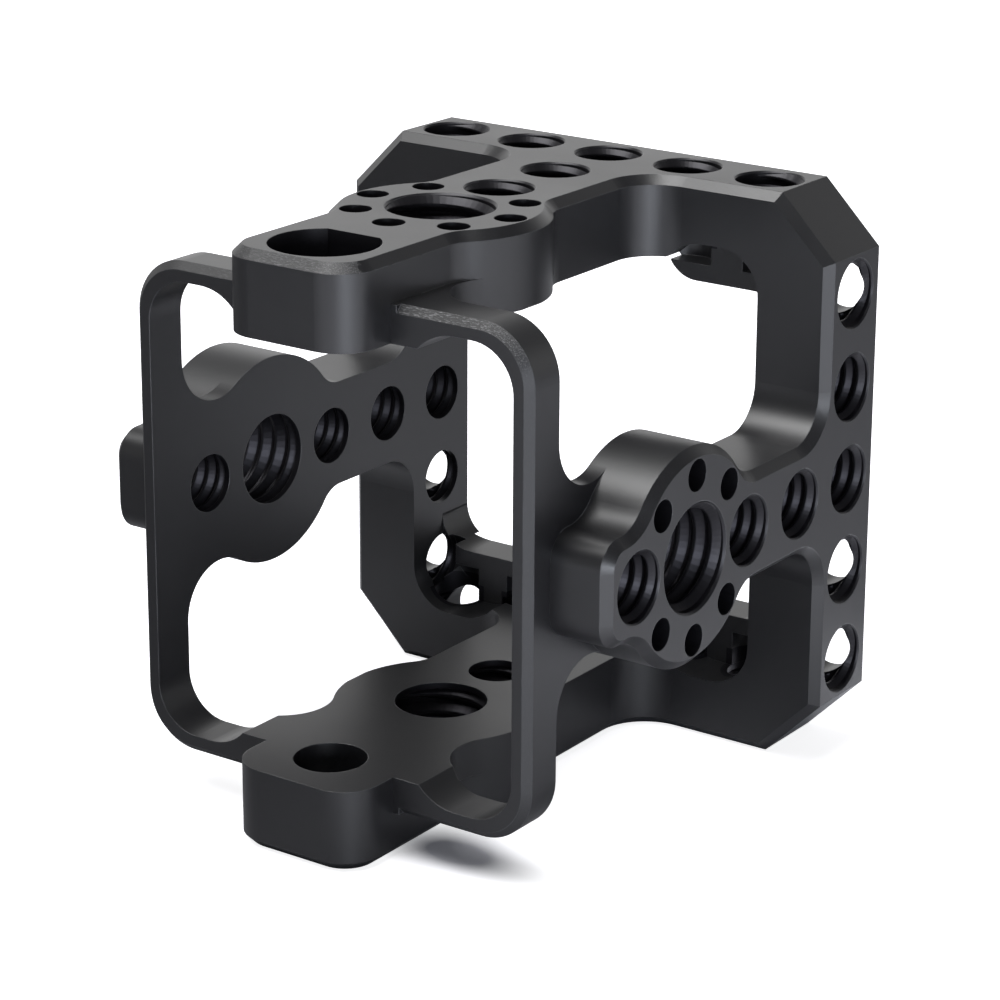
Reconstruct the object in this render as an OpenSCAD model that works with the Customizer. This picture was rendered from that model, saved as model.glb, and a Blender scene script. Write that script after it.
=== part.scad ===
// Camera cage for a small box camera.
// A square front ring, four arms with round thread pads, and an eight-sided rear frame.
// X runs to the right, Y to the back and Z up; the origin is under the middle of the cage.

/* [Cage] */
// Width of the camera bay, and its height between the top and bottom arms
bay_w = 37.5; // [34:0.1:44]
// Thickness of the arms, from the bay to the outside of the cage
wall_t = 7.25; // [6.5:0.05:8.5]
// Distance between neighbouring accessory holes
hole_pitch = 8.5; // [8:0.1:10]
// Distance from the middle of the round pads to the rear of the front ring
pad_to_ring = 11.85; // [10:0.05:16]

/* [Camera bay] */
// How much higher the bay is beside the arms than between them, at the top and at the bottom
bay_rise = 1.6; // [1:0.1:2]
// Width of the flat lands that the camera rests on, under the top arm and over the bottom arm
land_w = 18.8; // [16:0.1:20]
// Radius of the scoops that run from each land to the full bay height
scoop_r = 4.8; // [3:0.1:6]
// Radius of the four corners of the bay
bay_corner_r = 4; // [2:0.1:5]

/* [Rear frame] */
// Distance from the row of accessory holes to the front face of the frame
row_to_front = 4.5; // [4:0.1:6]
// Distance from the row of accessory holes to the rear face of the frame
row_to_rear = 4.2; // [3.7:0.1:5]
// Leg of the large chamfers on the four corners
corner_leg = 5.5; // [4:0.1:6]
// Leg of the small chamfer round the rear of the frame
rear_edge = 0.25; // [0.1:0.05:1]
// Diameter of the drilled holes in the rear face
rear_hole_d = 5.2; // [3:0.1:5.4]
// Distance of those holes from the outside of the frame
rear_hole_inset = 3.25; // [3:0.05:4]

/* [Rear stops] */
// Thickness of the four stops behind the camera, measured from the rear face
stop_t = 4.1; // [2.5:0.1:5]
// Height of a stop, from the top or bottom of the bay
stop_h = 4.8; // [4:0.1:7]
// Width of a stop, from the side of the bay
stop_w = 12.4; // [9:0.1:14]
// Radius of the rounded end of a stop, and of its fillet to the side wall
stop_r = 3.2; // [1:0.1:4]
// Leg of the chamfer on the rear edge of each stop
stop_edge = 0.3; // [0.1:0.05:1]

/* [Front ring] */
// Thickness of the posts of the ring, beside the bay
ring_post_t = 1.65; // [1:0.05:3]
// Thickness of the bars of the ring, above and below the bay
ring_bar_t = 1.65; // [1:0.05:3]
// Depth of the ring from front to back
ring_depth = 4; // [2:0.1:6]
// Radius of the outer corners of the ring
ring_corner_r = 5; // [2:0.1:7]
// Leg of the chamfer round the front of the ring
ring_edge = 0.65; // [0.2:0.05:1.2]
// Flat left on the ring beside each screw block, where that chamfer stops
ring_edge_gap = 0.6; // [0.2:0.1:2]

/* [Arms] */
// Width of the top and bottom arms
top_arm_w = 13.5; // [10:0.1:15]
// Width of the left and right arms
side_arm_w = 9.8; // [8:0.1:12]
// Leg of the chamfer along the outer edges of the arms and round the front of the frame
arm_edge = 0.8; // [0.3:0.05:1.2]
// Radius of the hollow between a pad and its arm
waist_r = 3; // [1.5:0.1:5]
// Radius of the hollow between an arm and the rear frame
root_r = 4; // [2:0.1:6]
// Radius of the hollow between a side pad and its front boss
boss_waist_r = 4; // [2:0.1:6]
// Width of the front boss of a side arm
boss_w = 9.2; // [7.5:0.1:10]
// How far the front boss of a side arm laps over the ring
boss_lap = 1.15; // [0.2:0.05:2]
// Radius of the two front corners of a side boss
boss_corner_r = 2.4; // [0.9:0.1:3]
// Radius of the thin flange that spreads from each pad to the ring
flange_r = 4.5; // [3:0.1:5]

/* [Screw blocks] */
// How far each screw block stands out in front of the ring
block_nose = 5.45; // [3:0.05:8]
// Radius of the two front corners of a block
block_corner_r = 3.4; // [1:0.1:5]
// Distance of the camera screw from the front of the block
screw_setback = 5.65; // [5:0.05:8]
// Clearance hole for the camera screw
screw_hole_d = 6.3; // [5:0.05:7]
// Counterbore for the head of the camera screw
screw_head_d = 9.3; // [8:0.1:11]
// Depth of that counterbore
screw_head_h = 3.3; // [2:0.1:3.7]

/* [Threads] */
// Small thread: diameter at the bottom of the thread
small_thread_d = 6.05; // [5.5:0.05:6.2]
// Small thread: diameter of the tapping drill
small_drill_d = 5.2; // [4.5:0.05:5.4]
// Small thread: diameter of the countersunk mouth
small_mouth_d = 6.35; // [6.25:0.05:7.2]
// Large thread: diameter at the bottom of the thread
large_thread_d = 9.3; // [8.8:0.05:9.6]
// Large thread: diameter of the tapping drill
large_drill_d = 8.2; // [7.5:0.05:8.6]
// Large thread: diameter of the countersunk mouth
large_mouth_d = 9.7; // [9.65:0.05:10.5]
// Length of plain drilled wall left where a thread ends, at the bay
thread_end = 0.6; // [0.3:0.05:1.5]
// How far the drills of the rear frame run on into the stops
drill_runout = 1.6; // [0.5:0.1:2.5]

/* [Pin holes] */
// Diameter of the locating pin holes round each large thread
pin_hole_d = 2.8; // [2:0.05:3.4]
// Metal between a pin hole and the large thread
pin_gap = 0.95; // [0.4:0.05:2]
// Metal between a pin hole and the edge of the round pad
pin_rim = 0.9; // [0.85:0.05:2]
// Depth of the pin holes
pin_hole_depth = 4.4; // [2:0.1:5.5]
// Angle at the tip of the drill
drill_tip_angle = 118; // [90:1:140]

/* [Hidden] */

anodised = [0.17, 0.17, 0.19];
anodised_ring = [0.21, 0.21, 0.23];
anodised_arm = [0.15, 0.15, 0.17];
anodised_stop = [0.19, 0.19, 0.21];

// One overrun for every cut
over = 0.5;
fine = 96;
small = 48;

// Turn about the bay's axis for each of the four sides, and from a side to the next corner
TOP = 0;
RIGHT = 90;
BOTTOM = 180;
LEFT = 270;
TO_CORNER = 45;

// Distances from the bay's axis
land = bay_w / 2;
outer = land + wall_t;
ceiling = land + bay_rise;
rear_hole_x = outer - rear_hole_inset;
frame_flat = outer - corner_leg;
corner_middle = (outer + frame_flat) * cos(TO_CORNER);
ring_side_x = land + ring_post_t;
ring_top_z = ceiling + ring_bar_t;

// The pad is counted in pitches in front of the row, and so are the accessory holes of an arm
pad_row = 3;
top_arm_rows = [1, 2];
side_arm_rows = [1, 2, 4];
// How many row holes fit between the middle of a side and its corner chamfer
side_holes = floor((frame_flat - small_mouth_d / 2) / hole_pitch);
row_places = [-side_holes:side_holes];

// Places along the bay, from the middle of the cage
cage_depth = block_nose + ring_depth + pad_to_ring + pad_row * hole_pitch + row_to_rear;
front_y = -cage_depth / 2;
rear_y = cage_depth / 2;
row_y = rear_y - row_to_rear;
frame_y = row_y - row_to_front;
ring_front_y = front_y + block_nose;
ring_rear_y = ring_front_y + ring_depth;
pad_y = row_y - pad_row * hole_pitch;
boss_y = ring_rear_y - boss_lap;
screw_y = front_y + screw_setback;

// Distance of the pin holes from the middle of a pad, and radius of the pad round them
pin_circle_r = large_mouth_d / 2 + pin_gap + pin_hole_d / 2;
pad_r = pin_circle_r + pin_hole_d / 2 + pin_rim;
// Angles of the pin holes round a pad, from straight back
top_pin_angles = [45, 90, 135, 180, 225, 270, 315];
side_pin_angles = [45, 90, 135, 225, 270, 315];
// Rear-face holes on the side walls and on the floor, counted in pitches from the middle
side_rear_places = [-side_holes, 1 - side_holes, side_holes];
floor_rear_places = [-side_holes, side_holes];

// Where a scoop meets the ceiling of the bay
scoop_x = land_w / 2 + sqrt(pow(scoop_r, 2) - pow(scoop_r - bay_rise, 2));

// Stands a shape that is drawn for the top of the cage on one of its four sides
module on_side(turn) {
    translate([0, 0, outer]) rotate([0, turn, 0]) children();
}

// Both halves of a shape that is the same on the left and on the right
module both() {
    children();
    mirror([1, 0, 0]) children();
}

// A flat outline in X and Z, made solid from one place along Y to another
module along_y(from_y, to_y) {
    translate([0, to_y, 0]) rotate([90, 0, 0]) linear_extrude(to_y - from_y) children();
}

// A flat outline in Y and Z, made solid across a width that is centred on X
module across_x(width) {
    translate([-width / 2, 0, 0]) rotate([90, 0, 90]) linear_extrude(width) children();
}

// A round plate whose upper edge is chamfered
module edged_disc(radius, low, high, edge) {
    translate([0, 0, low]) cylinder(h = high - edge - low, r = radius, $fn = fine);
    translate([0, 0, high - edge]) cylinder(h = edge, r1 = radius, r2 = radius - edge, $fn = fine);
}

// A straight bar along Y whose two upper edges are chamfered
module edged_bar(width, from_y, to_y, low, high, edge) {
    half = width / 2;
    along_y(from_y, to_y) polygon([
        [-half, low], [half, low], [half, high - edge],
        [half - edge, high], [edge - half, high], [-half, high - edge]]);
}

// Cutter for an inside radius, which widens at the top to carry the chamfer round it
module hollow(radius, low, high, edge) {
    translate([0, 0, low - over]) cylinder(h = high - edge - low + over, r = radius, $fn = fine);
    hollow_edge(radius, high, edge);
}

// The part of that cutter that makes the chamfer
module hollow_edge(radius, high, edge) {
    translate([0, 0, high - edge]) {
        cylinder(h = edge + over, r1 = radius, r2 = radius + edge + over, $fn = fine);
    }
}

// Hollow between a pad at the origin and a bar of the given width behind it
module pad_waist(width, radius, low, high, edge) {
    half = width / 2;
    x = half + radius;
    y = sqrt(pow(pad_r + radius, 2) - pow(x, 2));
    both() difference() {
        translate([0, 0, low]) linear_extrude(high - low) polygon([[0, 0], [x, y], [half, y], [0, y]]);
        translate([x, y, 0]) hollow(radius, low, high, edge);
    }
}

// Hollow between a bar and the front face of the rear frame, on both sides of the bar
module root_spread(width, low, high) {
    half = width / 2;
    x = half + root_r;
    y = frame_y - root_r;
    both() difference() {
        translate([0, 0, low]) linear_extrude(high - low) polygon([
            [0, y], [half, y], [x, y], [x, frame_y], [0, frame_y]]);
        translate([x, y, 0]) hollow(root_r, low, high, arm_edge);
    }
}

// Cutter that carries the chamfer of that hollow on into the frame
module root_edges(width) {
    both() translate([width / 2 + root_r, frame_y - root_r, 0]) hollow_edge(root_r, outer, arm_edge);
}

// Thin flange that spreads from a pad to the rear of the ring
module flange(low, high) {
    reach = pad_y - ring_rear_y;
    y = reach - flange_r;
    x = sqrt(pow(pad_r + flange_r, 2) - pow(y, 2));
    translate([0, pad_y, 0]) both() difference() {
        translate([0, 0, low]) linear_extrude(high - low) polygon([[0, 0], [x, -y], [x, -reach], [0, -reach]]);
        translate([x, -y, low - over]) cylinder(h = high - low + 2 * over, r = flange_r, $fn = fine);
    }
}

// A bar that ends at the front in two round corners, with its upper edge chamfered all round
module nose(width, from_y, to_y, corner, low, high, edge) {
    half = width / 2;
    edged_bar(width, from_y + corner, to_y, low, high, edge);
    both() translate([half - corner, from_y + corner, 0]) edged_disc(corner, low, high, edge);
    across_x(width - 2 * corner) polygon([
        [from_y, low], [from_y, high - edge], [from_y + edge, high], [to_y, high], [to_y, low]]);
}

// Section of the camera bay: round corners, and a raised land at the top and at the bottom
module bay_section() {
    corner_x = land - bay_corner_r;
    corner_z = ceiling - bay_corner_r;
    difference() {
        union() {
            square([bay_w, 2 * corner_z], center = true);
            square([2 * corner_x, 2 * ceiling], center = true);
            for (x = [-corner_x, corner_x], z = [-corner_z, corner_z]) {
                translate([x, z]) circle(bay_corner_r, $fn = fine);
            }
        }
        bay_land();
        mirror([0, 1]) bay_land();
    }
}

// Section of the upper land, whose two sides are scooped out
module bay_land() {
    difference() {
        translate([-scoop_x, land]) square([2 * scoop_x, bay_rise + over]);
        for (x = [-scoop_x, scoop_x]) {
            translate([x, ceiling - scoop_r]) circle(scoop_r, $fn = fine);
        }
    }
}

// Cutter for the whole camera bay
module camera_bay() {
    along_y(front_y - over, rear_y + over) bay_section();
}

// Cutter for a tapped hole that is drilled down from the outer face to the given depth
module tapped_hole(drill_d, thread_d, mouth_d, thread_depth, drill_depth) {
    mouth = (mouth_d - thread_d) / 2;
    translate([0, 0, outer - drill_depth]) cylinder(h = drill_depth + over, d = drill_d, $fn = small);
    translate([0, 0, outer - thread_depth]) cylinder(h = thread_depth + over, d = thread_d, $fn = small);
    translate([0, 0, outer - mouth]) {
        cylinder(h = mouth + over, d1 = thread_d, d2 = mouth_d + 2 * over, $fn = small);
    }
}

// Cutter for one small tapped hole through a full wall
module small_hole() {
    tapped_hole(small_drill_d, small_thread_d, small_mouth_d, wall_t - thread_end, wall_t + over);
}

// Cutter for all the holes of an arm
module arm_holes(rows, pin_angles) {
    translate([0, pad_y, 0]) {
        tapped_hole(large_drill_d, large_thread_d, large_mouth_d, wall_t - thread_end, wall_t + over);
    }
    for (row = rows) {
        translate([0, row_y - row * hole_pitch, 0]) small_hole();
    }
    tip = pin_hole_d / 2 / tan(drill_tip_angle / 2);
    for (angle = pin_angles) {
        translate([0, pad_y, outer - pin_hole_depth]) rotate([0, 0, angle]) {
            translate([0, pin_circle_r, 0]) {
                cylinder(h = pin_hole_depth + over, d = pin_hole_d, $fn = small);
                translate([0, 0, -tip]) cylinder(h = tip, d1 = 0, d2 = pin_hole_d, $fn = small);
            }
        }
    }
}

// Cutter for the camera screw: counterbore and clearance hole down to the bay
module screw_hole() {
    translate([0, screw_y, outer - screw_head_h]) {
        cylinder(h = screw_head_h + over, d = screw_head_d, $fn = small);
    }
    translate([0, screw_y, land - over]) {
        cylinder(h = wall_t + 2 * over, d = screw_hole_d, $fn = small);
    }
}

// Cutter for the row of small holes on one side of the rear frame
module row_holes(end_depth) {
    for (place = row_places) {
        thread_depth = abs(place) == side_holes ? end_depth : wall_t - thread_end;
        translate([place * hole_pitch, row_y, 0]) {
            tapped_hole(small_drill_d, small_thread_d, small_mouth_d, thread_depth, wall_t + drill_runout);
        }
    }
}

// Cutter for the rows on all four sides
module all_row_holes() {
    for (turn = [TOP, BOTTOM]) {
        on_side(turn) row_holes(outer - ceiling - thread_end);
    }
    for (turn = [LEFT, RIGHT]) {
        on_side(turn) row_holes(wall_t - thread_end);
    }
}

// Cutter for one hole in the rear face, as deep as the row that it meets
module rear_hole(x, z) {
    translate([x, rear_y + over, outer + z]) rotate([90, 0, 0]) {
        cylinder(h = row_to_rear + over, d = rear_hole_d, $fn = small);
    }
}

// Cutter for all the holes in the rear face
module rear_holes() {
    for (place = side_rear_places) {
        rear_hole(rear_hole_x, place * hole_pitch);
        rear_hole(-rear_hole_x, place * hole_pitch);
    }
    for (place = floor_rear_places) {
        rear_hole(place * hole_pitch, -rear_hole_x);
    }
}

// Outline of the rear frame: a square with its corners cut off
module frame_outline() {
    polygon([
        [frame_flat, -outer], [outer, -frame_flat], [outer, frame_flat], [frame_flat, outer],
        [-frame_flat, outer], [-outer, frame_flat], [-outer, -frame_flat], [-frame_flat, -outer]]);
}

// Cutter for a chamfer of the given leg along the upper front edge of a body behind the origin
module edge_cut(length, leg) {
    across_x(length) polygon([[-over, -leg - over], [leg + over, over], [-over, over]]);
}

// Chamfers round the front of the frame, which stop where the arms join it
module front_edge_cuts() {
    for (turn = [TOP, RIGHT, BOTTOM, LEFT]) {
        arm_w = turn == TOP || turn == BOTTOM ? top_arm_w : side_arm_w;
        start = arm_w / 2 + root_r;
        on_side(turn) both() {
            translate([start + outer / 2, frame_y, outer]) edge_cut(outer, arm_edge);
        }
        on_side(turn + TO_CORNER) {
            translate([0, frame_y, corner_middle]) edge_cut(2 * corner_leg, arm_edge);
        }
    }
}

// Chamfers all round the rear of the frame
module rear_edge_cuts() {
    for (turn = [TOP, RIGHT, BOTTOM, LEFT]) {
        on_side(turn) translate([0, rear_y, outer]) mirror([0, 1, 0]) edge_cut(2 * outer, rear_edge);
        on_side(turn + TO_CORNER) {
            translate([0, rear_y, corner_middle]) mirror([0, 1, 0]) edge_cut(2 * corner_leg, rear_edge);
        }
    }
}

module rear_frame() {
    color(anodised) difference() {
        translate([0, 0, outer]) along_y(frame_y, rear_y) difference() {
            frame_outline();
            bay_section();
        }
        front_edge_cuts();
        rear_edge_cuts();
        for (turn = [TOP, BOTTOM]) {
            on_side(turn) root_edges(top_arm_w);
        }
        for (turn = [LEFT, RIGHT]) {
            on_side(turn) root_edges(side_arm_w);
        }
        all_row_holes();
        rear_holes();
    }
}

module front_ring() {
    corner_x = ring_side_x - ring_corner_r;
    corner_z = ring_top_z - ring_corner_r;
    seat_w = top_arm_w + 2 * ring_edge_gap;
    color(anodised_ring) difference() {
        translate([0, 0, outer]) {
            for (x = [-corner_x, corner_x], z = [-corner_z, corner_z]) {
                translate([x, 0, z]) ring_corner();
            }
            across_x(2 * corner_x) ring_side(ring_top_z);
            rotate([0, RIGHT, 0]) across_x(2 * corner_z) ring_side(ring_side_x);
            translate([-seat_w / 2, ring_front_y, -ring_top_z]) cube([seat_w, ring_depth, 2 * ring_top_z]);
        }
        translate([0, 0, outer]) camera_bay();
        for (turn = [TOP, BOTTOM]) {
            on_side(turn) screw_hole();
        }
    }
}

// One round corner of the ring, with its front edge chamfered
module ring_corner() {
    translate([0, ring_rear_y, 0]) rotate([90, 0, 0]) {
        edged_disc(ring_corner_r, 0, ring_depth, ring_edge);
    }
}

// Section of the ring from one outer face to the other, with both front edges chamfered
module ring_side(half) {
    polygon([
        [ring_rear_y, -half], [ring_rear_y, half], [ring_front_y + ring_edge, half],
        [ring_front_y, half - ring_edge], [ring_front_y, ring_edge - half],
        [ring_front_y + ring_edge, -half]]);
}

// The part of every arm that is alike: pad, rear bar, its hollows and the flange to the ring
module arm_body(width, flange_top) {
    translate([0, pad_y, 0]) {
        edged_disc(pad_r, land, outer, arm_edge);
        pad_waist(width, waist_r, land, outer, arm_edge);
    }
    edged_bar(width, pad_y, frame_y, land, outer, arm_edge);
    root_spread(width, land, outer);
    flange(land, flange_top);
}

module top_or_bottom_arm() {
    difference() {
        union() {
            arm_body(top_arm_w, ring_top_z);
            translate([0, pad_y, 0]) mirror([0, 1, 0]) {
                pad_waist(top_arm_w, waist_r, land, outer, arm_edge);
            }
            edged_bar(top_arm_w, ring_rear_y, pad_y, land, outer, arm_edge);
        }
        camera_bay();
        arm_holes(top_arm_rows, top_pin_angles);
    }
}

module left_or_right_arm() {
    difference() {
        union() {
            arm_body(side_arm_w, ring_side_x);
            translate([0, pad_y, 0]) mirror([0, 1, 0]) {
                pad_waist(boss_w, boss_waist_r, land, outer, arm_edge);
            }
            nose(boss_w, boss_y, pad_y, boss_corner_r, land, outer, arm_edge);
        }
        translate([-boss_w, ring_front_y, 0]) cube([2 * boss_w, ring_depth, ring_side_x]);
        arm_holes(side_arm_rows, side_pin_angles);
    }
}

module top_arm() {
    color(anodised_arm) on_side(TOP) top_or_bottom_arm();
}

module bottom_arm() {
    color(anodised_arm) on_side(BOTTOM) top_or_bottom_arm();
}

module left_arm() {
    color(anodised_arm) on_side(LEFT) left_or_right_arm();
}

module right_arm() {
    color(anodised_arm) on_side(RIGHT) left_or_right_arm();
}

// Block that straddles the ring and takes the screw that holds the camera
module screw_block() {
    difference() {
        nose(top_arm_w, front_y, ring_rear_y, block_corner_r, land, outer, arm_edge);
        translate([-top_arm_w, ring_front_y, 0]) cube([2 * top_arm_w, ring_depth + over, ring_top_z]);
        screw_hole();
    }
}

module top_screw_block() {
    color(anodised) on_side(TOP) screw_block();
}

module bottom_screw_block() {
    color(anodised) on_side(BOTTOM) screw_block();
}

// Outline of the upper right stop: it fills the bay's corner above the rear opening
module stop_outline() {
    intersection() {
        bay_section();
        translate([land - stop_w, ceiling - stop_h]) {
            translate([stop_r, stop_r]) circle(stop_r, $fn = fine);
            translate([stop_r, 0]) square([stop_w - stop_r, stop_h]);
            translate([0, stop_r]) square([stop_w, stop_h - stop_r]);
            translate([stop_w - stop_r, -stop_r]) difference() {
                square([stop_r, stop_r]);
                circle(stop_r, $fn = fine);
            }
        }
    }
}

// One stop, cut by the drills of the rows in front of it
module rear_stop(side, up) {
    color(anodised_stop) difference() {
        translate([0, 0, outer]) mirror([side, 0, 0]) mirror([0, 0, up]) {
            difference() {
                along_y(rear_y - stop_t, rear_y) stop_outline();
                translate([land - stop_w / 2 + stop_r, rear_y, ceiling - stop_h]) {
                    mirror([0, 1, 0]) mirror([0, 0, 1]) edge_cut(stop_w, stop_edge);
                }
            }
        }
        all_row_holes();
        rear_holes();
    }
}

module rear_stop_top_left() {
    rear_stop(1, 0);
}

module rear_stop_top_right() {
    rear_stop(0, 0);
}

module rear_stop_bottom_left() {
    rear_stop(1, 1);
}

module rear_stop_bottom_right() {
    rear_stop(0, 1);
}

front_ring();
rear_frame();
top_arm();
bottom_arm();
left_arm();
right_arm();
top_screw_block();
bottom_screw_block();
rear_stop_top_left();
rear_stop_top_right();
rear_stop_bottom_left();
rear_stop_bottom_right();
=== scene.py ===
import math

import bmesh
import bpy
from mathutils import Matrix, Vector


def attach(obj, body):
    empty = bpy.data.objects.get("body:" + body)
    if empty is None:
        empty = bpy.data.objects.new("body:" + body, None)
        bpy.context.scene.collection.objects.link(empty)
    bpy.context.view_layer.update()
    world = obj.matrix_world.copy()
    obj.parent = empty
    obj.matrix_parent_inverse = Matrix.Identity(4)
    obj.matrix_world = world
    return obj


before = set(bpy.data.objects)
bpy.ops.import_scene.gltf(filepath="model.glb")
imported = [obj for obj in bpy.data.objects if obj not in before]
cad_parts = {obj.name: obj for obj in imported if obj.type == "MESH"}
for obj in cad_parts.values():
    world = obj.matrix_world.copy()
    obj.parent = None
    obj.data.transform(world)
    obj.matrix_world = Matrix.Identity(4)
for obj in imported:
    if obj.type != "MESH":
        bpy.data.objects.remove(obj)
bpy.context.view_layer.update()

MM = 0.001
SIDES = ("top", "right", "bottom", "left")

# The cage in millimetres, x to the right, y to the back and z up: the height of its middle, and how
# far the outer faces, the flat lands inside the arms and the bay's ceiling beside them are from it
MIDDLE_Z = 26.0
OUTER = 26.0
LAND = 18.75
CEILING = 20.35

# Spacing of the small holes, their places along a row and along the arms, counted in spacings, and
# how far back the rows, the pads and the camera screws are
PITCH = 8.5
ROW_PLACES = (-2, -1, 0, 1, 2)
ARM_ROWS = {"top": (1, 2), "bottom": (1, 2), "left": (1, 2, 4), "right": (1, 2, 4)}
ROW_Y = 21.3
PAD_Y = ROW_Y - 3 * PITCH
SCREW_Y = -19.85

# Holes drilled in from the rear face: their radius, how far they are from the cage's middle, and
# the places of the row holes that they cross in the side walls and in the floor
REAR_HOLE_R = 2.6
REAR_HOLE_X = 22.75
SIDE_REAR_PLACES = (-2, -1, 2)
FLOOR_REAR_PLACES = (-2, 2)

# Radius of a small hole's mouth, of the field with the pin holes round a pad's thread and of the
# seat of a screw head, and how far a row reaches along its side
SMALL_MOUTH_R = 3.2
PIN_FIELD_R = 8.66
SCREW_HEAD_R = 4.7
ROW_END = 20.3
# How far from the land and from the outer face the holes in a wall get painted shade, and how
# strong that shade is at their mouths
LAND_MARGIN = 0.05
MOUTH_MARGIN = 0.03
MOUTH_SHARE = 0.7

# Front ring: its front face, half its height and a margin beyond it, and the middle of its front
# chamfer and how far the chamfer reaches from there
RING_FRONT_Y = -20.05
RING_TOP = 22.0
RING_MARGIN = 0.5
RING_EDGE_Y = RING_FRONT_Y + 0.35
RING_EDGE_BAND = 0.4
# Leg of the chamfer along the arms and the rear frame, and a margin beyond it
ARM_EDGE = 0.8
ARM_EDGE_MARGIN = 0.05
# Part of a chamfer's normal that lies along each of its two axes, and how far that may be off
SLANT = math.sqrt(0.5)
SLANT_BAND = 0.09
# Least part of its normal with which a chamfer faces forward or back to show milling marks
FORWARD = 0.25

# Planes in which the pieces meet face to face, the band each side of them in which no edge is
# rubbed nor given a painted highlight, and half the width of the seat of a screw block on the ring
JOINT_PLANES = (-16.05, 16.8)
JOINT_BAND = 0.22
SEAT_HALF_W = 7.0

# Radius of a thread at its bottom and at its crest, and its pitch
SMALL_THREAD = (3.025, 2.62, 1.27)
LARGE_THREAD = (4.65, 4.12, 1.5875)
# How far above the bay the threads begin, where they end just below the outer face, and how deep
# their root sits in the wall
THREAD_END = 0.6
THREAD_TOP = OUTER - 0.1
THREAD_SINK = 0.06
# Steps in one turn of a ridge and those over which it fades in and out; and, in pitches, how far
# its middle stays inside its two ends, and half its width at the crest and at the root
THREAD_STEPS = 48
FADE_STEPS = 8
END_SHARE = 0.25
CREST_SHARE = 0.07
ROOT_SHARE = 0.47

# Black anodised coat: the two tones it drifts between and its roughness, on the body and on the
# threads, how far the roughness drifts, and the coat's index of refraction
BODY_DARK = (0.006, 0.006, 0.0075)
BODY_LIGHT = (0.009, 0.009, 0.0108)
BODY_ROUGH = 0.38
THREAD_DARK = (0.006, 0.006, 0.007)
THREAD_LIGHT = (0.010, 0.010, 0.012)
THREAD_ROUGH = 0.40
ROUGH_DRIFT = 0.03
COAT_IOR = 1.75
# Depth of the grain on the body and on the threads, as shares of its depth in metres
BODY_GRAIN = 1.0
THREAD_GRAIN = 0.3
GRAIN_BUMP = 0.000006
# Depth of the cutter's chatter in metres, and how strongly it shows as painted glints
CHATTER_BUMP = 0.00005
CHATTER_GLINT_SHARE = 0.6
# Share of the fine grain in the drift between the two tones
GRAIN_IN_TONE = 0.3
# Colours of edges, rubbed and given a painted highlight, of the painted glints on the milling marks
# and of the painted shade deep in the holes, and how metallic that painted shade is
EDGE_WEAR_AND_HIGHLIGHT_COLOUR = (0.16, 0.16, 0.17)
CHATTER_GLINT_COLOUR = (0.20, 0.20, 0.205)
HOLE_SHADE_COLOUR = (0.020, 0.019, 0.024)
HOLE_SHADE_METAL = 0.75
# Part of a solid's name, its material, the strength of its chatter and its painted glints, the
# roughness of its chamfers where that differs, and whether its holes get painted shade
FINISHES = (
    ("frame", "satin_black_anodised", 0.05, None, True),
    ("arm", "arm_black_anodised", 0.1, None, True),
    ("block", "block_black_anodised", 1.0, 0.48, True),
    ("ring", "ring_black_anodised", 1.4, 0.55, False),
)

# Lamps, in metres and watts: name, place, size, power and colour; both are aimed at one point
LAMP_AIM = (0, 0, 0.03)
LAMPS = (
    ("overhead_softbox", (-0.085, -0.09, 0.42), (0.31, 0.30), 1.73, (1.0, 1.0, 1.0)),
    ("window_light", (0.42, -0.36, 0.07), (0.30, 0.13), 1.08, (0.86, 0.91, 1.0)),
)

# Floor, in metres: its width, the ways along which its colour in reflections lifts out of painted
# shade and grows more lit, the painted light that reflections see beside the cage's rear corner,
# and the middle of the shadow under the ring and one over its two half axes
FLOOR_W = 3
REFLECTED_SHADE_WAY = (0.45, 0.89, 0)
LIT_WAY = (0.75, -0.66, 0)
REAR_CORNER = (0.028, 0.034, 0)
RING_SHADOW = (0.0107, -0.0163, 0)
RING_SHADOW_SCALE = (238, 400, 0)
# Tint of the floor in reflections, and the colour that the camera sees
REFLECTED_TINT = (0.97, 0.98, 1.05)
FLOOR_COLOUR = (0.97, 0.97, 1.03)


# ------------------------------------------------ camera

def make_camera():
    """The camera stands at the photograph's angle, 270 mm from the point it is aimed at."""
    azimuth, elevation, roll = 0.580722, 0.294615, 0.01561
    aim = Vector((14.7272, 0.3, MIDDLE_Z + 11.1033)) * MM
    distance = 269.5044 * MM
    focal_px, image_px, sensor = 3200.797, 1000, 36.0
    optical_centre_px = (613.519, 392.806)
    back = Vector((math.sin(azimuth) * math.cos(elevation),
                   -math.cos(azimuth) * math.cos(elevation), math.sin(elevation)))
    right = Vector((math.cos(azimuth), math.sin(azimuth), 0))
    up = back.cross(right)
    turned_right = right * math.cos(roll) + up * math.sin(roll)
    turned_up = up * math.cos(roll) - right * math.sin(roll)
    data = bpy.data.cameras.new("camera")
    data.sensor_width = sensor
    data.lens = sensor * focal_px / image_px
    data.shift_x = 0.5 - optical_centre_px[0] / image_px
    data.shift_y = optical_centre_px[1] / image_px - 0.5
    data.clip_start, data.clip_end = 0.01, 20
    camera = bpy.data.objects.new("camera", data)
    turn = Matrix((turned_right, turned_up, back)).transposed()
    camera.matrix_world = Matrix.Translation(aim + back * distance) @ turn.to_4x4()
    bpy.context.scene.collection.objects.link(camera)
    bpy.context.scene.camera = camera


# ------------------------------------------------ shader nodes

def new_group(name, inputs, outputs):
    """A shader node group; inputs are (name, kind, value) and outputs (name, kind)."""
    tree = bpy.data.node_groups.new(name, "ShaderNodeTree")
    for label, kind, value in inputs:
        socket = tree.interface.new_socket(label, in_out="INPUT", socket_type="NodeSocket" + kind)
        socket.default_value = value
    for label, kind in outputs:
        tree.interface.new_socket(label, in_out="OUTPUT", socket_type="NodeSocket" + kind)
    return tree, tree.nodes.new("NodeGroupInput"), tree.nodes.new("NodeGroupOutput")


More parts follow.
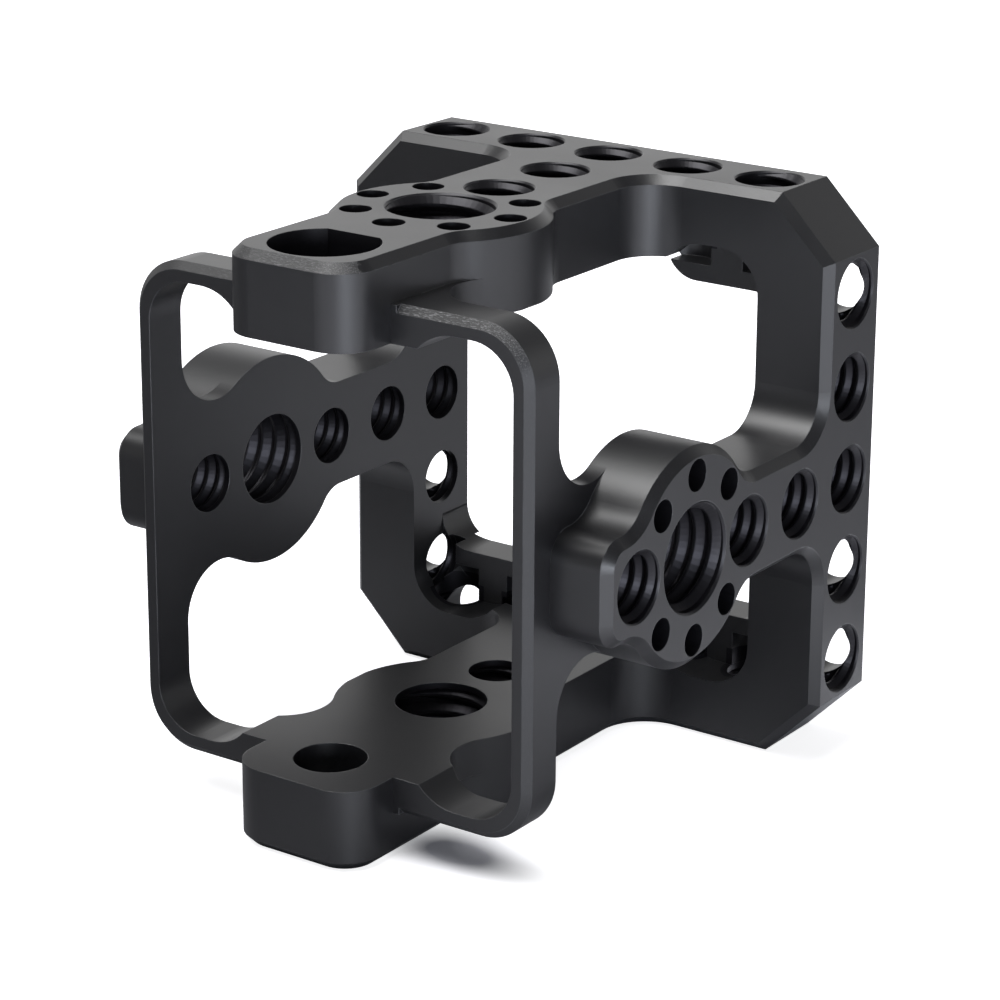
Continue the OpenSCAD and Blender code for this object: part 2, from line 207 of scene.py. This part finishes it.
def node(tree, kind, _links=None, _values=None, **settings):
    """One node with its settings, its typed-in values and its links, by socket name or number."""
    made = tree.nodes.new("ShaderNode" + kind)
    for name, value in settings.items():
        setattr(made, name, value)
    for socket, value in (_values or {}).items():
        made.inputs[socket].default_value = value
    for socket, source in (_links or {}).items():
        tree.links.new(source, made.inputs[socket])
    return made


def math_node(tree, operation, *terms):
    """A Math node; each term is a number or an output socket."""
    made = tree.nodes.new("ShaderNodeMath")
    made.operation = operation
    for i, term in enumerate(terms):
        if isinstance(term, (int, float)):
            made.inputs[i].default_value = term
        else:
            tree.links.new(term, made.inputs[i])
    return made.outputs[0]


def chain(tree, operation, first, *others):
    """The same operation over more than two terms, such as their product or the largest of them."""
    for term in others:
        first = math_node(tree, operation, first, term)
    return first


def ramp(tree, value, span, levels=(0.0, 1.0)):
    """Goes from the first of the levels to the second while the value goes through its span."""
    limits = dict(zip(("From Min", "From Max", "To Min", "To Max"), (*span, *levels)))
    return node(tree, "MapRange", {"Value": value}, limits).outputs["Result"]


def object_place(tree):
    return node(tree, "TexCoord").outputs["Object"]


def axes_of(tree, vector):
    return node(tree, "SeparateXYZ", {0: vector}).outputs


def height_from_middle(tree, z):
    return math_node(tree, "SUBTRACT", z, MIDDLE_Z * MM)


# ------------------------------------------------ effects that several finishes share

def blasted_surface():
    """Fine bead-blasted grain and faint cloudy patches, as a height and a tone."""
    tree, given, result = new_group(
        "blasted_surface",
        [("Grain Size", "Float", 0.12), ("Grain Depth", "Float", 1.0)],
        [("Height", "Float"), ("Tone", "Float")])
    place = object_place(tree)
    scale = math_node(tree, "DIVIDE", 1 / MM, given.outputs["Grain Size"])
    grain = node(tree, "TexNoise", {"Vector": place, "Scale": scale},
                 {"Detail": 2.0, "Roughness": 0.7}).outputs["Fac"]
    clouds = node(tree, "TexNoise", {"Vector": place},
                  {"Scale": 90.0, "Detail": 3.0, "Roughness": 0.5}).outputs["Fac"]
    height = math_node(tree, "MULTIPLY", grain, given.outputs["Grain Depth"])
    fine = math_node(tree, "MULTIPLY", grain, GRAIN_IN_TONE)
    tone = math_node(tree, "MULTIPLY_ADD", clouds, 1 - GRAIN_IN_TONE, fine)
    tree.links.new(height, result.inputs["Height"])
    tree.links.new(tone, result.inputs["Tone"])
    return tree


def worn_and_highlit_edges():
    """A patchy mask of wear and painted highlight on sharp outer edges, and the rounded normal
    there;
    joints have neither.
    """
    tree, given, result = new_group(
        "worn_and_highlit_edges", [("Radius", "Float", 0.00012)], [("Mask", "Float"), ("Normal", "Vector")])
    rounded = node(tree, "Bevel", {"Radius": given.outputs["Radius"]}, samples=4).outputs["Normal"]
    shape = node(tree, "NewGeometry").outputs
    place = object_place(tree)
    axes = axes_of(tree, place)
    seat, *joints = [math_node(tree, "COMPARE", axes["Y"], plane * MM, JOINT_BAND * MM)
                     for plane in (RING_FRONT_Y, *JOINT_PLANES)]
    aside = math_node(tree, "ABSOLUTE", axes["X"])
    at_block = math_node(tree, "LESS_THAN", aside, SEAT_HALF_W * MM)
    joined = chain(tree, "MAXIMUM", math_node(tree, "MULTIPLY", seat, at_block), *joints)
    open_edge = math_node(tree, "SUBTRACT", 1.0, joined)
    same = node(tree, "VectorMath", {0: rounded, 1: shape["True Normal"]}, operation="DOT_PRODUCT")
    bent = math_node(tree, "SUBTRACT", 1.0, same.outputs["Value"])
    rub = node(tree, "TexNoise", {"Vector": place}, {"Scale": 260.0, "Detail": 3.0})
    patches = ramp(tree, rub.outputs["Fac"], (0.38, 0.62), (0.25, 1.0))
    # This mask lightens sharp edges, partly as rubbed wear and partly as a painted highlight
    worn_and_highlit = chain(tree, "MULTIPLY", ramp(tree, bent, (0.02, 0.25)), patches, open_edge)
    bevelled = node(tree, "Mix", {"Factor": open_edge, "A": shape["Normal"], "B": rounded},
                    data_type="VECTOR")
    tree.links.new(worn_and_highlit, result.inputs["Mask"])
    tree.links.new(bevelled.outputs["Result"], result.inputs["Normal"])
    return tree


def painted_hole_shade():
    """A mask of painted shade inside the holes of the four sides, weaker at their mouths and 1
    below full depth.
    """
    tree, given, result = new_group(
        "painted_hole_shade", [("Full Depth", "Float", 0.0012)], [("Mask", "Float")])
    x, y, z = axes_of(tree, object_place(tree))
    height = height_from_middle(tree, z)

    def gap(at, place):
        return math_node(tree, "ABSOLUTE", math_node(tree, "SUBTRACT", at, place * MM))

    def every_pitch(at, place):
        offset = math_node(tree, "SUBTRACT", at, place * MM)
        return math_node(tree, "PINGPONG", offset, 0.5 * PITCH * MM)

    def within(across, along, radius):
        offset = node(tree, "CombineXYZ", {0: across, 1: along}).outputs[0]
        away = node(tree, "VectorMath", {0: offset}, operation="LENGTH")
        return math_node(tree, "LESS_THAN", away.outputs["Value"], radius * MM)

    masks = []
    for across, outward in ((x, height), (height, x)):
        reach = math_node(tree, "ABSOLUTE", outward)
        holes = [within(every_pitch(across, 0), gap(y, ROW_Y), SMALL_MOUTH_R),
                 within(gap(across, 0), every_pitch(y, ROW_Y), SMALL_MOUTH_R),
                 within(gap(across, 0), gap(y, PAD_Y), PIN_FIELD_R)]
        if outward is height:
            holes.append(within(gap(across, 0), gap(y, SCREW_Y), SCREW_HEAD_R))
        below_mouth = math_node(tree, "SUBTRACT", OUTER * MM, reach)
        share = node(tree, "MapRange",
                     {"Value": below_mouth, "From Max": given.outputs["Full Depth"]},
                     {"To Min": MOUTH_SHARE, "To Max": 1.0})
        masks.append(chain(tree, "MULTIPLY",
                           chain(tree, "MAXIMUM", *holes),
                           math_node(tree, "GREATER_THAN", reach, (LAND + LAND_MARGIN) * MM),
                           math_node(tree, "LESS_THAN", reach, (OUTER - MOUTH_MARGIN) * MM),
                           math_node(tree, "LESS_THAN", gap(across, 0), ROW_END * MM),
                           share.outputs["Result"]))
    tree.links.new(math_node(tree, "MAXIMUM", *masks), result.inputs["Mask"])
    return tree


def chamfer_chatter_and_glints():
    """The cutter's chatter along the chamfers as a height and as painted glints, and a mask of
    them.

    It is strongest on the chamfers that face up, from the middle of the cage to the right, so that
    the painted glints lie where the light falls.
    """
    tree, given, result = new_group(
        "chamfer_chatter_and_glints", [("Fine", "Float", 9000.0), ("Coarse", "Float", 2600.0)],
        [("Height", "Float"), ("Painted Glints", "Float"), ("Mask", "Float")])
    x, y, z = axes_of(tree, object_place(tree))
    normal = node(tree, "NewGeometry").outputs["True Normal"]
    turned = node(tree, "VectorMath", {0: normal}, operation="ABSOLUTE").outputs["Vector"]
    facing = axes_of(tree, turned)
    aside = math_node(tree, "ABSOLUTE", x)
    above = math_node(tree, "ABSOLUTE", height_from_middle(tree, z))
    slanted = [math_node(tree, "COMPARE", part, SLANT, SLANT_BAND) for part in facing]

    in_ring = math_node(tree, "LESS_THAN", math_node(tree, "MAXIMUM", aside, above),
                        (RING_TOP + RING_MARGIN) * MM)
    at_front = math_node(tree, "COMPARE", y, RING_EDGE_Y * MM, RING_EDGE_BAND * MM)
    ring = chain(tree, "MULTIPLY", in_ring, at_front, slanted[1])
    edge_start = (OUTER - ARM_EDGE - ARM_EDGE_MARGIN) * MM
    edges = [math_node(tree, "MULTIPLY", slanted[axis],
                       math_node(tree, "GREATER_THAN", reach, edge_start))
             for axis, reach in ((0, aside), (2, above))]
    forward = math_node(tree, "GREATER_THAN", facing[1], FORWARD)
    outer = math_node(tree, "MULTIPLY", forward, math_node(tree, "MAXIMUM", *edges))
    mask = math_node(tree, "MAXIMUM", ring, outer)

    stretch = math_node(tree, "SUBTRACT", given.outputs["Fine"], given.outputs["Coarse"])
    combed = node(tree, "CombineXYZ")
    for axis, at in enumerate((x, y, z)):
        across = ramp(tree, facing[axis], (0.0, 0.6))
        scale = math_node(tree, "MULTIPLY_ADD", across, stretch, given.outputs["Coarse"])
        tree.links.new(math_node(tree, "MULTIPLY", at, scale), combed.inputs[axis])
    chatter = node(tree, "TexNoise", {"Vector": combed.outputs[0]},
                   {"Scale": 1.0, "Detail": 3.0, "Roughness": 0.65}).outputs["Fac"]
    upward = ramp(tree, axes_of(tree, normal)["Z"], (0.15, 0.55), (0.04, 1.0))
    rightward = ramp(tree, x, (-0.014, 0.006), (0.1, 1.0))
    strength = chain(tree, "MULTIPLY", upward, rightward, mask)
    tree.links.new(math_node(tree, "MULTIPLY", chatter, strength), result.inputs["Height"])
    # The flecks are painted glints: a lighter colour where the chatter is high and the chamfer
    # faces the light
    painted_glints = math_node(tree, "MULTIPLY", ramp(tree, chatter, (0.50, 0.68)), strength)
    tree.links.new(painted_glints, result.inputs["Painted Glints"])
    tree.links.new(mask, result.inputs["Mask"])
    return tree


# ------------------------------------------------ finishes

def principled(material):
    return next(n for n in material.node_tree.nodes if n.type == "BSDF_PRINCIPLED")


def group_in(material, tree, **values):
    """Puts a node group in a material; a value named grain_depth goes to its Grain Depth."""
    made = material.node_tree.nodes.new("ShaderNodeGroup")
    made.node_tree = tree
    for name, value in values.items():
        made.inputs[name.replace("_", " ").title()].default_value = value
    return made


def laid_over(tree, under, mask, colour):
    """Another colour laid over the one under it, as far as the mask says."""
    mixed = node(tree, "Mix", {"Factor": mask, "A": under}, data_type="RGBA")
    mixed.inputs["B"].default_value = (*colour, 1)
    return mixed.outputs["Result"]


def black_anodised(name, groups, tones, rough, grain_depth,
                   chatter=0.0, cut_rough=None, shades_holes=True):
    """Satin black anodised aluminium over a bead-blasted surface.

    Chatter is the strength of its milling marks and their painted glints, and cut_rough the
    roughness of its chamfers.
    """
    material = bpy.data.materials.new(name)
    material.use_nodes = True
    tree = material.node_tree
    shader = principled(material)
    shader.inputs["IOR"].default_value = COAT_IOR
    grain = group_in(material, groups["blasted_surface"], grain_depth=grain_depth)
    edges = group_in(material, groups["worn_and_highlit_edges"])
    tone = ramp(tree, grain.outputs["Tone"], (0.35, 0.65))
    body = node(tree, "Mix", {"Factor": tone}, data_type="RGBA")
    for socket, shade in zip("AB", tones):
        body.inputs[socket].default_value = (*shade, 1)
    # Lighter colour on sharp edges: rubbed wear together with a painted highlight
    colour = laid_over(tree, body.outputs["Result"], edges.outputs["Mask"], EDGE_WEAR_AND_HIGHLIGHT_COLOUR)
    normal = node(tree, "Bump",
                  {"Height": grain.outputs["Height"], "Normal": edges.outputs["Normal"]},
                  {"Strength": 0.5, "Distance": GRAIN_BUMP}).outputs["Normal"]
    roughness = ramp(tree, grain.outputs["Tone"], (0.3, 0.7),
                     (rough - ROUGH_DRIFT, rough + ROUGH_DRIFT))
    if chatter:
        marks = group_in(material, groups["chamfer_chatter_and_glints"])
        # Lighter flecks on the milling marks are painted glints
        painted_glints = math_node(tree, "MULTIPLY", marks.outputs["Painted Glints"],
                           min(1.0, CHATTER_GLINT_SHARE * chatter))
        colour = laid_over(tree, colour, painted_glints, CHATTER_GLINT_COLOUR)
        normal = node(tree, "Bump", {"Height": marks.outputs["Height"], "Normal": normal},
                      {"Strength": 1.0, "Distance": CHATTER_BUMP * chatter}).outputs["Normal"]
        if cut_rough:
            roughness = node(tree, "Mix", {"Factor": marks.outputs["Mask"], "A": roughness},
                             {"B": cut_rough}).outputs["Result"]
    # Painted shade deep in the holes: a near-black colour, made metallic so that it hardly reflects
    if shades_holes:
        depth = group_in(material, groups["painted_hole_shade"]).outputs["Mask"]
        colour = laid_over(tree, colour, depth, HOLE_SHADE_COLOUR)
        tree.links.new(math_node(tree, "MULTIPLY", depth, HOLE_SHADE_METAL), shader.inputs["Metallic"])
    tree.links.new(colour, shader.inputs["Base Color"])
    tree.links.new(roughness, shader.inputs["Roughness"])
    tree.links.new(normal, shader.inputs["Normal"])
    return material


def dress_cage(finishes):
    """Gives each solid the finish that its name tells; the rear stops go with the frame."""
    for name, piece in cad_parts.items():
        kind = next((k for k in finishes if k in name), "frame")
        piece.data.materials.clear()
        piece.data.materials.append(finishes[kind])


# ------------------------------------------------ threads

def side_turn(side):
    """Turns a shape drawn for the top of the cage onto one of its four sides."""
    return (Matrix.Translation((0, 0, MIDDLE_Z)) @
            Matrix.Rotation(math.radians(90 * SIDES.index(side)), 4, "Y"))


def rear_hole_places(side):
    """Places in a side's row where a hole from the rear face crosses a hole of the row."""
    if side == "right":
        return [-place for place in SIDE_REAR_PLACES]
    return {"left": SIDE_REAR_PLACES, "bottom": FLOOR_REAR_PLACES}.get(side, ())


def cut_back(ring, crossing):
    """Trims a ridge's cross-section to the edge of a crossing hole; None where it all falls in."""
    across = ring[1].x - crossing[0]
    if abs(across) >= REAR_HOLE_R:
        return ring
    reach = math.sqrt(REAR_HOLE_R ** 2 - across ** 2)
    low, high = crossing[1] - reach, crossing[1] + reach
    if ring[0].z >= high or ring[-1].z <= low:
        return ring
    if ring[-1].z > high:
        return [Vector((p.x, p.y, max(p.z, high))) for p in ring]
    if ring[0].z < low:
        return [Vector((p.x, p.y, min(p.z, low))) for p in ring]
    return None


def thread_ridge(mesh, turn, x, y, low, thread, crossing=None):
    """One helical ridge in a bore, cut away behind the bore's middle where a hole crosses it."""
    deep, crest, pitch = thread
    steps = int((THREAD_TOP - low - 2 * END_SHARE * pitch) / pitch * THREAD_STEPS)
    last = None
    for i in range(steps + 1):
        angle = 2 * math.pi * i / THREAD_STEPS
        height = low + END_SHARE * pitch + pitch * i / THREAD_STEPS
        fade = min(1.0, i / FADE_STEPS, (steps - i) / FADE_STEPS)
        tip = deep - (deep - crest) * fade
        half = pitch * (CREST_SHARE + (ROOT_SHARE - CREST_SHARE) * fade)
        ring = [Vector((x + radius * math.cos(angle), y + radius * math.sin(angle), height + rise))
                for radius, rise in ((deep + THREAD_SINK, -half), (tip, -CREST_SHARE * pitch),
                                     (tip, CREST_SHARE * pitch), (deep + THREAD_SINK, half))]
        if crossing and math.sin(angle) > 0:
            ring = cut_back(ring, crossing)
        if ring is None:
            if last:
                mesh.faces.new(reversed(last))
            last = None
            continue
        now = [mesh.verts.new(turn @ p * MM) for p in ring]
        if last is None:
            mesh.faces.new(now)
        else:
            for a in range(4):
                b = (a + 1) % 4
                mesh.faces.new((last[a], last[b], now[b], now[a]))
        last = now
    if last:
        mesh.faces.new(reversed(last))


def finish_piece(name, mesh, material):
    """Turns a mesh into a piece of the cage that keeps to its one body."""
    bmesh.ops.recalc_face_normals(mesh, faces=mesh.faces)
    data = bpy.data.meshes.new(name)
    mesh.to_mesh(data)
    mesh.free()
    data.materials.append(material)
    piece = bpy.data.objects.new(name, data)
    bpy.context.scene.collection.objects.link(piece)
    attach(piece, "root")


def make_threads(side, material):
    """The threads of one side: the row on the rear frame, the small holes on the arm, the pad."""
    turn = side_turn(side)
    start = LAND + THREAD_END
    row_mesh = bmesh.new()
    for place in ROW_PLACES:
        x = place * PITCH
        beside_land = side in ("top", "bottom") and abs(place) == max(ROW_PLACES)
        low = CEILING + THREAD_END if beside_land else start
        crossing = (x, REAR_HOLE_X) if place in rear_hole_places(side) else None
        thread_ridge(row_mesh, turn, x, ROW_Y, low, SMALL_THREAD, crossing)
    finish_piece(side + "_row_threads", row_mesh, material)
    arm_mesh = bmesh.new()
    for row in ARM_ROWS[side]:
        thread_ridge(arm_mesh, turn, 0, ROW_Y - row * PITCH, start, SMALL_THREAD)
    finish_piece(side + "_arm_threads", arm_mesh, material)
    pad_mesh = bmesh.new()
    thread_ridge(pad_mesh, turn, 0, PAD_Y, start, LARGE_THREAD)
    finish_piece(side + "_pad_thread", pad_mesh, material)


# ------------------------------------------------ light and floor

def make_lamp(name, place, size, power, colour):
    data = bpy.data.lights.new(name, "AREA")
    data.shape = "RECTANGLE"
    data.size, data.size_y = size
    data.energy = power
    data.color = colour
    lamp = bpy.data.objects.new(name, data)
    lamp.location = place
    lamp.rotation_mode = "QUATERNION"
    lamp.rotation_quaternion = (Vector(LAMP_AIM) - Vector(place)).to_track_quat("-Z", "Y")
    bpy.context.scene.collection.objects.link(lamp)


def make_world():
    """The camera sees a plain white room; reflections see white only low behind the cage."""
    world = bpy.data.worlds.new("studio")
    bpy.context.scene.world = world
    world.use_nodes = True
    tree = world.node_tree
    sky = next(n for n in tree.nodes if n.type == "BACKGROUND")
    x, y, z = axes_of(tree, node(tree, "TexCoord").outputs["Generated"])
    backward = ramp(tree, y, (-0.6, 0.5), (0.22, 1.0))
    sideways = ramp(tree, x, (-0.5, 0.3), (1.25, 0.5))
    upward = ramp(tree, z, (0.38, 0.52), (1.0, 0.15))
    level = chain(tree, "MULTIPLY", backward, sideways, upward)
    seen = node(tree, "LightPath").outputs["Is Camera Ray"]
    sky.inputs["Color"].default_value = (1, 1, 1, 1)
    tree.links.new(math_node(tree, "MAXIMUM", level, seen), sky.inputs["Strength"])


def make_floor():
    """A white floor that keeps the cage's shadow; in reflections it has painted shade at the front
    left.

    It glows a little away from the shadow under the ring, so that the camera sees it white there.
    """
    bpy.ops.mesh.primitive_plane_add(size=FLOOR_W)
    floor = bpy.context.object
    floor.name = "floor"
    material = bpy.data.materials.new("white_floor")
    material.use_nodes = True
    tree = material.node_tree
    shader = principled(material)
    shader.inputs["Roughness"].default_value = 0.9
    shader.inputs["Specular IOR Level"].default_value = 0.1
    seen = node(tree, "LightPath").outputs["Is Camera Ray"]
    place = object_place(tree)

    def measured(operation, vector, other=None):
        values = {1: other} if other else None
        return node(tree, "VectorMath", {0: vector}, values, operation=operation).outputs["Value"]

    # In reflections the floor's colour is painted light and shade: darker at the front left,
    # lighter to the right, and a painted bright spot beside the rear corner
    front_left_shade = ramp(tree, measured("DOT_PRODUCT", place, REFLECTED_SHADE_WAY), (-0.05, 0.02), (0.17, 0.66))
    lit = ramp(tree, measured("DOT_PRODUCT", place, LIT_WAY), (0.02, 0.08))
    painted_corner_light = ramp(tree, measured("DISTANCE", place, REAR_CORNER), (0.006, 0.024), (1.5, 0.0))
    reflected_light_and_shade = node(tree, "VectorMath", {0: chain(tree, "ADD", front_left_shade, lit, painted_corner_light)}, {1: REFLECTED_TINT},
                operation="MULTIPLY").outputs["Vector"]
    tree.links.new(laid_over(tree, reflected_light_and_shade, seen, FLOOR_COLOUR), shader.inputs["Base Color"])

    shifted = node(tree, "VectorMath", {0: place}, {1: RING_SHADOW},
                   operation="SUBTRACT").outputs["Vector"]
    squeezed = node(tree, "VectorMath", {0: shifted}, {1: RING_SHADOW_SCALE},
                    operation="MULTIPLY").outputs["Vector"]
    beside_shadow = ramp(tree, measured("LENGTH", squeezed), (0.7, 2.0), (0.0, 0.8))
    further_out = ramp(tree, measured("LENGTH", place), (0.05, 0.12), (0.0, 0.25))
    glow = math_node(tree, "MULTIPLY", math_node(tree, "ADD", beside_shadow, further_out), seen)
    shader.inputs["Emission Color"].default_value = (1, 1, 1, 1)
    tree.links.new(glow, shader.inputs["Emission Strength"])
    floor.data.materials.append(material)


# ------------------------------------------------ the scene

make_camera()
groups = {build.__name__: build()
          for build in (blasted_surface, worn_and_highlit_edges, painted_hole_shade, chamfer_chatter_and_glints)}
finishes = {kind: black_anodised(name, groups, (BODY_DARK, BODY_LIGHT), BODY_ROUGH, BODY_GRAIN,
                                 chatter, cut_rough, shades_holes)
            for kind, name, chatter, cut_rough, shades_holes in FINISHES}
thread_black = black_anodised("thread_black_anodised", groups, (THREAD_DARK, THREAD_LIGHT),
                              THREAD_ROUGH, THREAD_GRAIN)
dress_cage(finishes)
for side in SIDES:
    make_threads(side, thread_black)
for lamp in LAMPS:
    make_lamp(*lamp)
make_world()
make_floor()
bpy.context.scene.view_settings.view_transform = "Standard"
